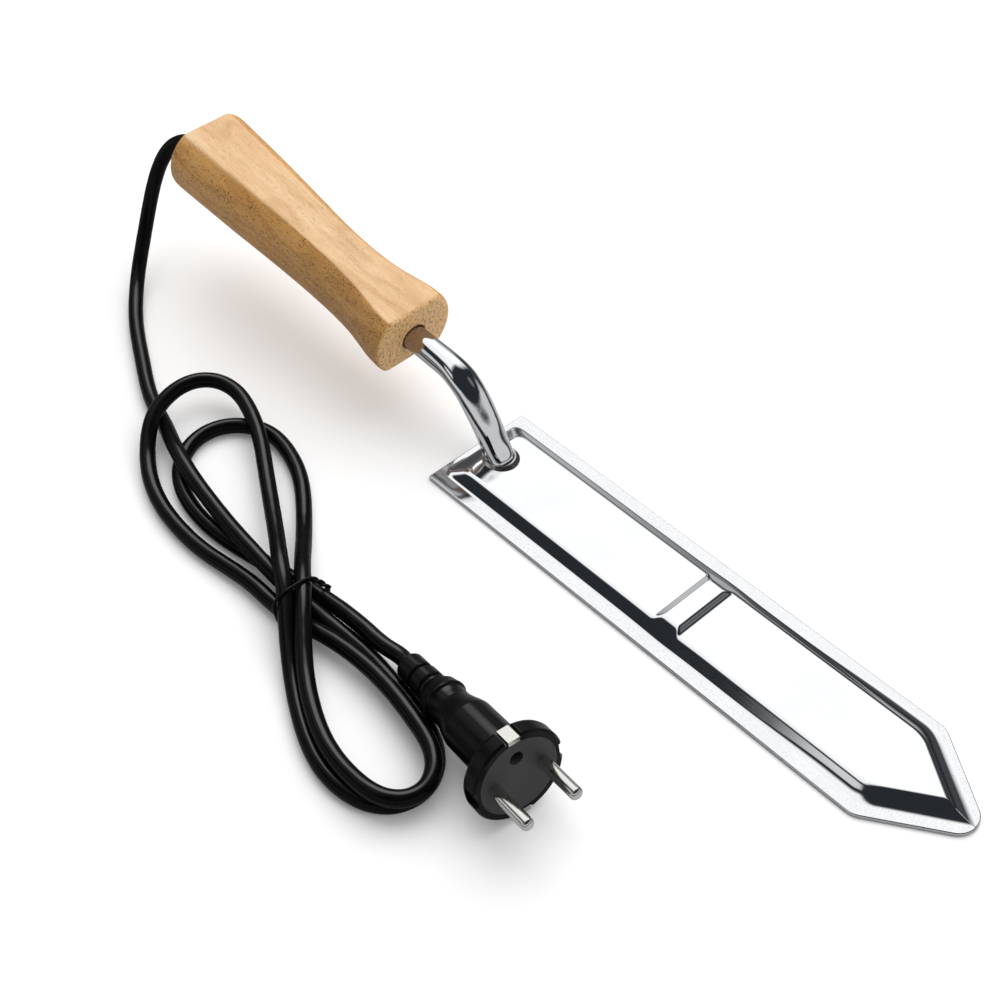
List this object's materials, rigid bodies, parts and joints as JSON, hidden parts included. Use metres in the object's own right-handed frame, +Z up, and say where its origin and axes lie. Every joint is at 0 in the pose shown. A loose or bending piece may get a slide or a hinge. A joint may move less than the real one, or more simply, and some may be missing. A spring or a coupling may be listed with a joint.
{
  "type": "uncapping knife",
  "caption": "Electrically heated uncapping knife: flat pointed blade with raised heater cover, bent tube stem, shaped wooden handle, tied mains cord and moulded plug.",
  "frame": {"origin": "flat underside of the blade, on the centre line, 16 mm ahead of the heel, below the foot of the stem", "axes": "+X along the blade towards its tip, +Z up out of the blade face, +Y across the blade to the side away from the tied cord"},
  "size_m": [0.4352, 0.1688, 0.0715],
  "materials": {
    "blade_steel": "bright polished stainless sheet",
    "stem_steel": "polished tube",
    "handle_wood": "light close-grained hardwood, thin clear finish",
    "zinc_steel": "zinc plated",
    "mica": "pressed mica board",
    "nichrome": "oxidised resistance ribbon",
    "ceramic_fibre": "ceramic fibre felt",
    "brass": "tinned brass",
    "nickel_pins": "nickel plated brass",
    "sleeve_glass": "glass-fibre sleeving",
    "core_brown": "flexible PVC",
    "core_blue": "flexible PVC",
    "core_green": "flexible PVC",
    "cord_black": "flexible PVC, satin",
    "tie_black": "plastic coated wire",
    "plug_black": "moulded flexible PVC",
    "carrier_grey": "rigid moulding",
    "grip_nylon": "nylon"
  },
  "bodies": {
    "knife": {"blade_cover": "blade_steel", "blade_plate": "blade_steel", "cord_core_earth": "core_green", "cord_core_live": "core_brown", "cord_core_neutral": "core_blue", "cord_end_handle": "cord_black", "cord_grip": "grip_nylon", "earth_rivet": "zinc_steel", "earth_tag": "zinc_steel", "handle_screw": "zinc_steel", "heater_return": "nichrome", "heater_winding": "nichrome", "insulation_pad": "ceramic_fibre", "lead_earth": "sleeve_glass", "lead_live": "sleeve_glass", "lead_neutral": "sleeve_glass", "mica_core": "mica", "mica_sheet_lower": "mica", "mica_sheet_upper": "mica", "splice_earth": "brass", "splice_live": "brass", "splice_neutral": "brass", "stem_braze": "stem_steel", "stem_tube": "stem_steel", "terminal_live": "brass", "terminal_neutral": "brass", "wooden_handle": "handle_wood"},
    "hank": {"cord_hank": "cord_black", "twist_tie": "tie_black"},
    "plug": {"cord_end_plug": "cord_black", "plug_body": "plug_black", "plug_carrier": "carrier_grey", "plug_core_earth": "core_green", "plug_core_live": "core_brown", "plug_core_neutral": "core_blue", "plug_earth_clips": "brass", "plug_pins": "nickel_pins"}
  },
  "joints": [
    {"name": "cord_flex_handle", "type": "hinge", "parent": "knife", "child": "hank", "pos_m": [-0.18432, 0, 0.05555], "axis": [0, 0, 1], "range_deg": [-35, 4]},
    {"name": "cord_flex_plug", "type": "hinge", "parent": "hank", "child": "plug", "pos_m": [0.04969, -0.09313, 0.00794], "axis": [0, 0, 1], "range_deg": [0, 40]}
  ]
}
